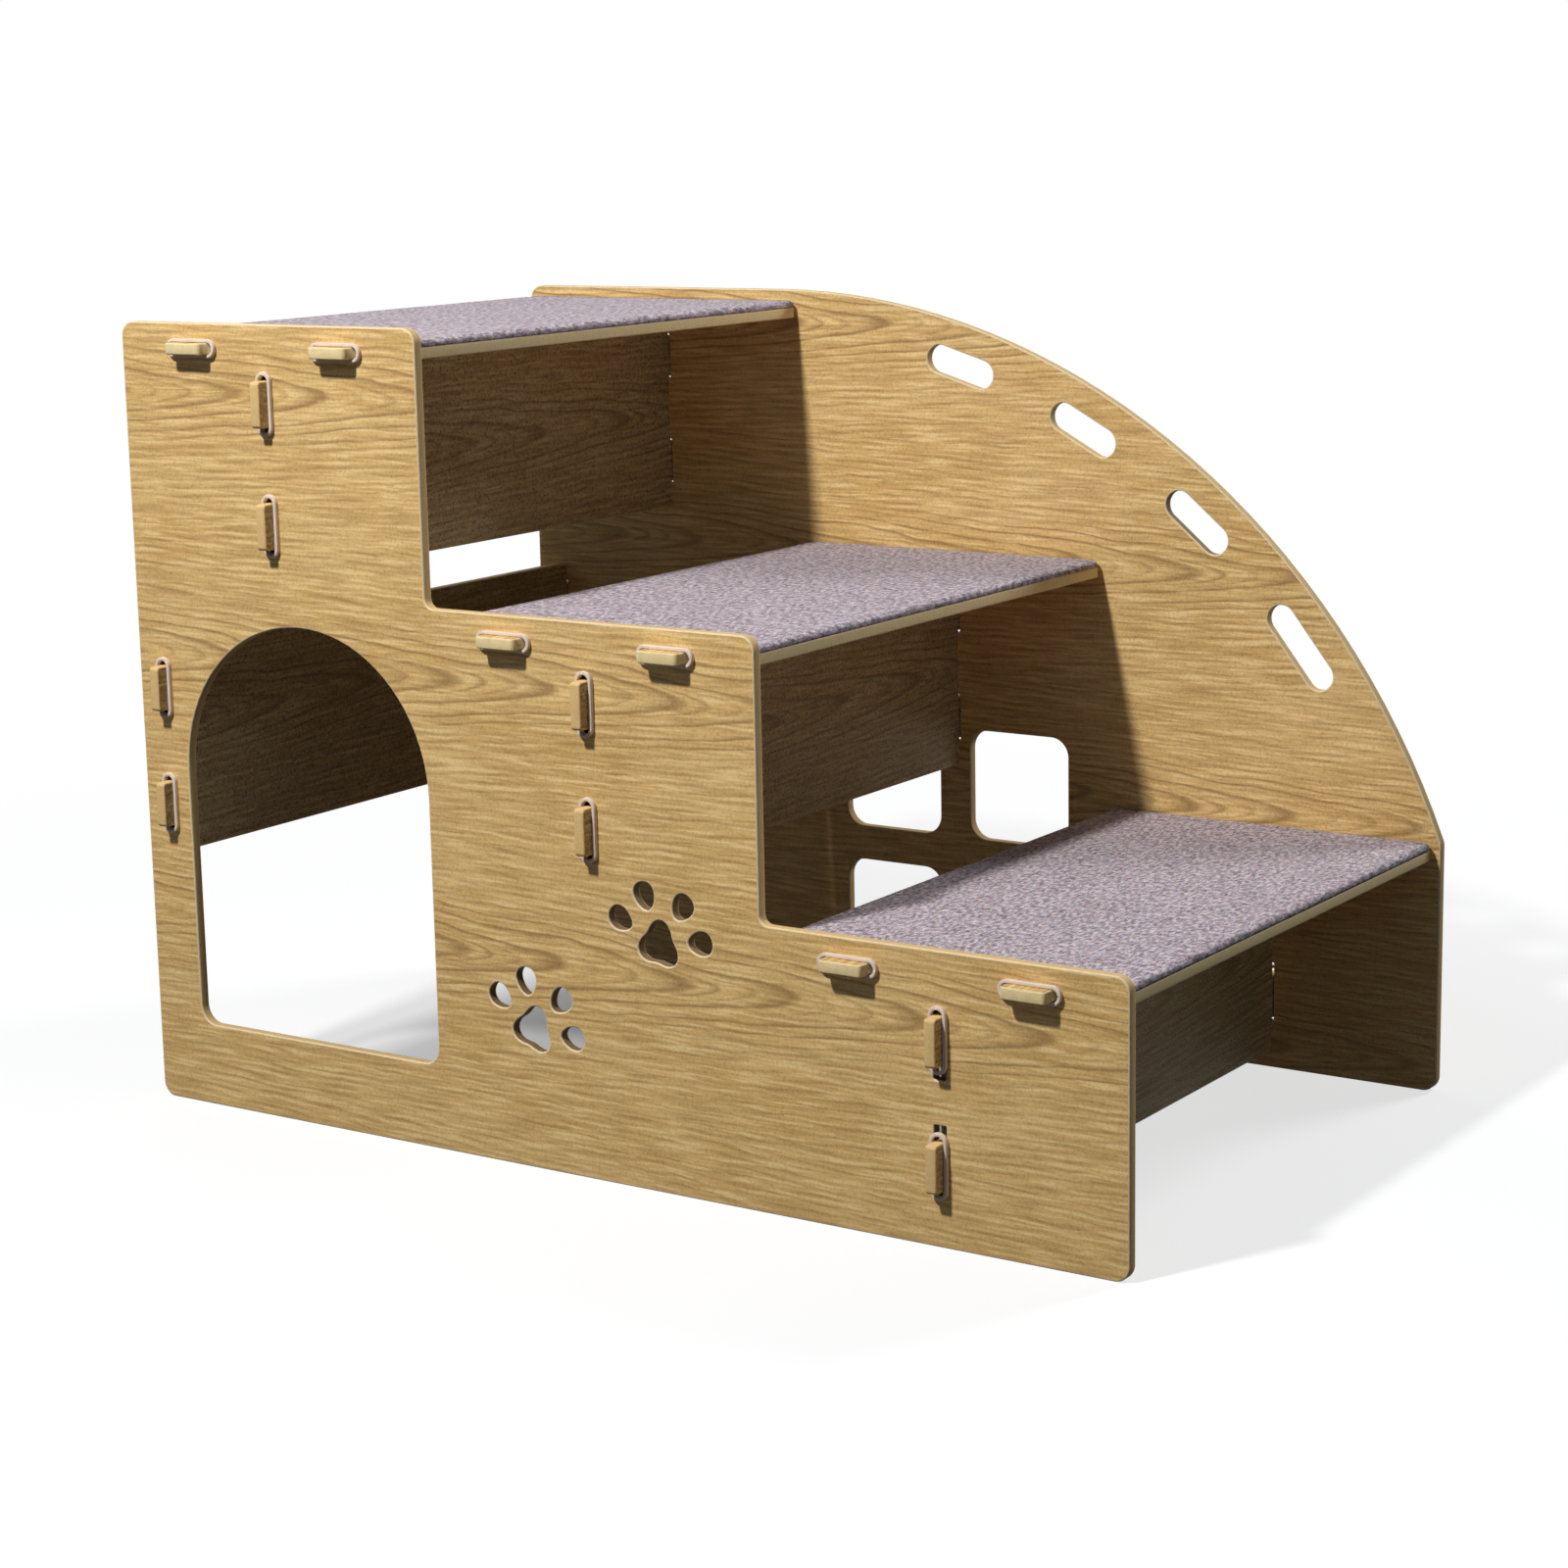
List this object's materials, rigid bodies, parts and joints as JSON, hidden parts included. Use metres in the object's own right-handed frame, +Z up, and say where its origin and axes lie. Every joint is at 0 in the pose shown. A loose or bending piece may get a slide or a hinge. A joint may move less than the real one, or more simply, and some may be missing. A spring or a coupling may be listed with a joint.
{
  "type": "pet stairs",
  "caption": "Slot-together wooden pet stairs with carpeted treads, an arched door to a hideaway, a quarter-round guard panel with hand slots and a pane window",
  "frame": {"origin": "on the floor under the middle of the stairs' bounding box", "axes": "+X from the high rear end to the low front end where a pet starts to climb, +Y from the stepped side panel to the arched side panel, +Z up"},
  "size_m": [0.6, 0.375, 0.424],
  "materials": {
    "board": "matte wood grain",
    "carpet": "short pile",
    "collar": "satin"
  },
  "bodies": {
    "root": {"near_side_panel": "board", "far_side_panel": "board", "top_tread": "board", "middle_tread": "board", "bottom_tread": "board", "top_carpet": "carpet", "middle_carpet": "carpet", "bottom_carpet": "carpet", "rear_rail": "board", "top_riser": "board", "middle_riser": "board", "bottom_riser": "board", "top_tread_near_collars": "collar", "top_tread_far_collars": "collar", "middle_tread_near_collars": "collar", "middle_tread_far_collars": "collar", "bottom_tread_near_collars": "collar", "bottom_tread_far_collars": "collar", "rear_rail_near_collars": "collar", "rear_rail_far_collars": "collar", "top_riser_near_collars": "collar", "top_riser_far_collars": "collar", "middle_riser_near_collars": "collar", "middle_riser_far_collars": "collar", "bottom_riser_near_collars": "collar", "bottom_riser_far_collars": "collar"}
  },
  "joints": []
}
